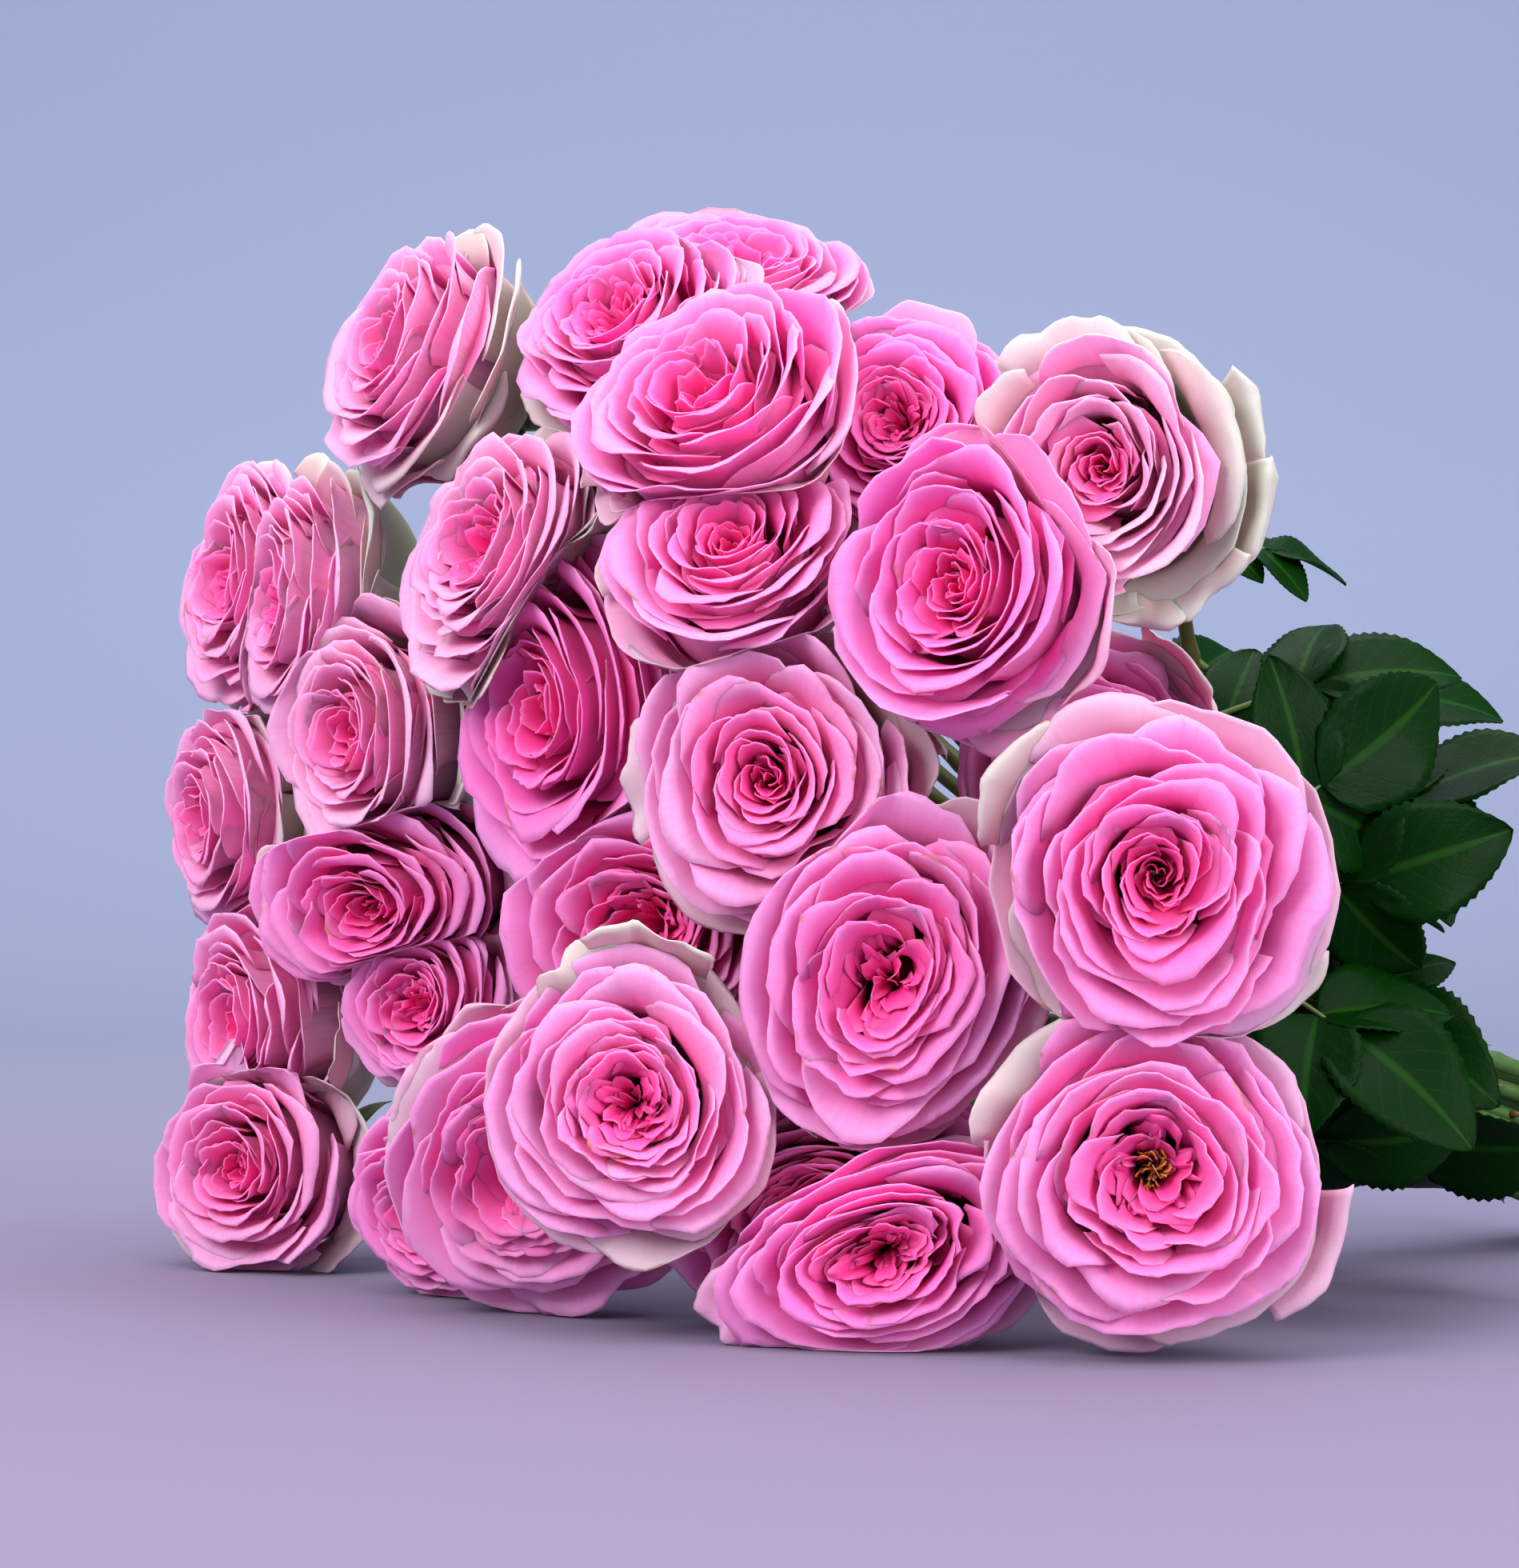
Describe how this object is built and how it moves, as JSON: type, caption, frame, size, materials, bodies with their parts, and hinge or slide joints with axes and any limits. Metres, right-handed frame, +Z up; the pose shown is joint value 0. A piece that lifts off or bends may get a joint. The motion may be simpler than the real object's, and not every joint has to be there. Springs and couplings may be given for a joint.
{
  "type": "bunch of roses",
  "caption": "Bunch of open pink garden roses lying on its side, with leafy stems gathered by a band behind the heads.",
  "frame": {"origin": "on the surface that the bunch lies on, under the middle of its box", "axes": "+X to the right across the bunch as the open heads are seen, towards the cut ends; +Y away to the back; +Z up"},
  "size_m": [0.578, 0.4376, 0.3795],
  "materials": {
    "petals": "soft matt petals, deep pink in the heart and pale at the rims",
    "greens": "green stems and calyces, dark glossy leaves",
    "band": "plain tan rubber band"
  },
  "bodies": {
    "root": {"bloom_01": "petals", "bloom_02": "petals", "bloom_03": "petals", "bloom_04": "petals", "bloom_05": "petals", "bloom_06": "petals", "bloom_07": "petals", "bloom_08": "petals", "bloom_09": "petals", "bloom_10": "petals", "bloom_11": "petals", "bloom_12": "petals", "bloom_13": "petals", "bloom_14": "petals", "bloom_15": "petals", "bloom_16": "petals", "bloom_17": "petals", "bloom_18": "petals", "bloom_19": "petals", "bloom_20": "petals", "bloom_21": "petals", "bloom_22": "petals", "bloom_23": "petals", "bloom_24": "petals", "bloom_25": "petals", "bloom_26": "petals", "bloom_27": "petals", "bloom_28": "petals", "bloom_29": "petals", "stem_01": "greens", "stem_02": "greens", "stem_03": "greens", "stem_04": "greens", "stem_05": "greens", "stem_06": "greens", "stem_07": "greens", "stem_08": "greens", "stem_09": "greens", "stem_10": "greens", "stem_11": "greens", "stem_12": "greens", "stem_13": "greens", "stem_14": "greens", "stem_15": "greens", "stem_16": "greens", "stem_17": "greens", "stem_18": "greens", "stem_19": "greens", "stem_20": "greens", "stem_21": "greens", "stem_22": "greens", "stem_23": "greens", "stem_24": "greens", "stem_25": "greens", "stem_26": "greens", "stem_27": "greens", "stem_28": "greens", "stem_29": "greens", "band": "band"}
  },
  "joints": []
}
